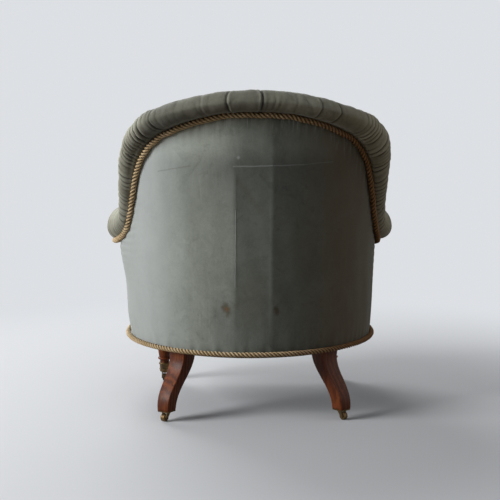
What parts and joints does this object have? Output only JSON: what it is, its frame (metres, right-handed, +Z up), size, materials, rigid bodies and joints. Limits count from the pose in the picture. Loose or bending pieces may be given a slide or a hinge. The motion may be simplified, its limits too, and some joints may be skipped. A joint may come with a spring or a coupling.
{
  "type": "tub chair",
  "caption": "Upholstered tub chair with a wrap-round back, rolled top edge and arms, sprung seat, rope trims, wooden legs and casters.",
  "frame": {"origin": "on the floor, at the middle of the chair's outline", "axes": "+Z up, -Y towards the front where the sitter faces, +X towards the sitter's left"},
  "size_m": [0.7488, 0.6408, 0.7815],
  "materials": {
    "velvet": "worn velvet pile, sage green",
    "rope": "twisted cord, antique gold",
    "mahogany": "polished, worn",
    "beech": "sawn, unpolished",
    "hessian": "coarse plain weave",
    "webbing": "herringbone weave",
    "dust_cloth": "thin black cotton",
    "stuffing": "curled hair",
    "spring_wire": "coppered wire, dull",
    "tack_iron": "blued",
    "steel": "dull",
    "brass": "aged, dark"
  },
  "bodies": {
    "chair": {"arm_facing_left": "velvet", "arm_facing_right": "velvet", "arm_rail_left": "beech", "arm_rail_right": "beech", "arm_roll_left": "velvet", "arm_roll_right": "velvet", "arm_stump_left": "beech", "arm_stump_right": "beech", "back_buttons": "velvet", "back_hessian": "hessian", "back_leg_left": "mahogany", "back_leg_right": "mahogany", "back_post_left": "beech", "back_post_right": "beech", "back_rail": "beech", "back_stuffing": "stuffing", "bottoming_cloth": "dust_cloth", "bottoming_tacks": "tack_iron", "caster_cup_front_left": "brass", "caster_cup_front_right": "brass", "caster_plate_back_left": "brass", "caster_plate_back_right": "brass", "caster_screws": "steel", "corner_blocks": "beech", "crest_rail": "beech", "facing_rope_left": "rope", "facing_rope_right": "rope", "front_border": "velvet", "front_leg_left": "mahogany", "front_leg_right": "mahogany", "front_rail": "beech", "inside_back": "velvet", "outer_cover": "velvet", "rope_trim_lower": "rope", "rope_trim_upper": "rope", "seat_cover": "velvet", "seat_springs": "spring_wire", "seat_stuffing": "stuffing", "side_rail_left": "beech", "side_rail_right": "beech", "spring_hessian": "hessian", "top_roll": "velvet", "webbing_crossways": "webbing", "webbing_lengthways": "webbing"},
    "fork_back_left": {"caster_fork_back_left": "brass", "caster_axle_back_left": "steel"},
    "wheel_back_left": {"caster_wheel_back_left": "brass"},
    "fork_back_right": {"caster_fork_back_right": "brass", "caster_axle_back_right": "steel"},
    "wheel_back_right": {"caster_wheel_back_right": "brass"},
    "fork_front_left": {"caster_fork_front_left": "brass", "caster_axle_front_left": "steel"},
    "wheel_front_left": {"caster_wheel_front_left": "brass"},
    "fork_front_right": {"caster_fork_front_right": "brass", "caster_axle_front_right": "steel"},
    "wheel_front_right": {"caster_wheel_front_right": "brass"}
  },
  "joints": [
    {"name": "swivel_back_left", "type": "hinge", "parent": "chair", "child": "fork_back_left", "pos_m": [0.21036, 0.17716, 0.0205], "axis": [0, 0, 1], "continuous": true},
    {"name": "roll_back_left", "type": "hinge", "parent": "fork_back_left", "child": "wheel_back_left", "pos_m": [0.21518, 0.18355, 0.0095], "axis": [0.7986, -0.6018, 0], "continuous": true},
    {"name": "swivel_back_right", "type": "hinge", "parent": "chair", "child": "fork_back_right", "pos_m": [-0.21036, 0.17716, 0.0205], "axis": [0, 0, 1], "continuous": true},
    {"name": "roll_back_right", "type": "hinge", "parent": "fork_back_right", "child": "wheel_back_right", "pos_m": [-0.21518, 0.18355, 0.0095], "axis": [0.7986, 0.6018, 0], "continuous": true},
    {"name": "swivel_front_left", "type": "hinge", "parent": "chair", "child": "fork_front_left", "pos_m": [0.23302, -0.2367, 0.0205], "axis": [0, 0, 1], "continuous": true},
    {"name": "roll_front_left", "type": "hinge", "parent": "fork_front_left", "child": "wheel_front_left", "pos_m": [0.23302, -0.2287, 0.0095], "axis": [1, 0, 0], "continuous": true},
    {"name": "swivel_front_right", "type": "hinge", "parent": "chair", "child": "fork_front_right", "pos_m": [-0.23302, -0.2367, 0.0205], "axis": [0, 0, 1], "continuous": true},
    {"name": "roll_front_right", "type": "hinge", "parent": "fork_front_right", "child": "wheel_front_right", "pos_m": [-0.23302, -0.2287, 0.0095], "axis": [1, 0, 0], "continuous": true}
  ]
}
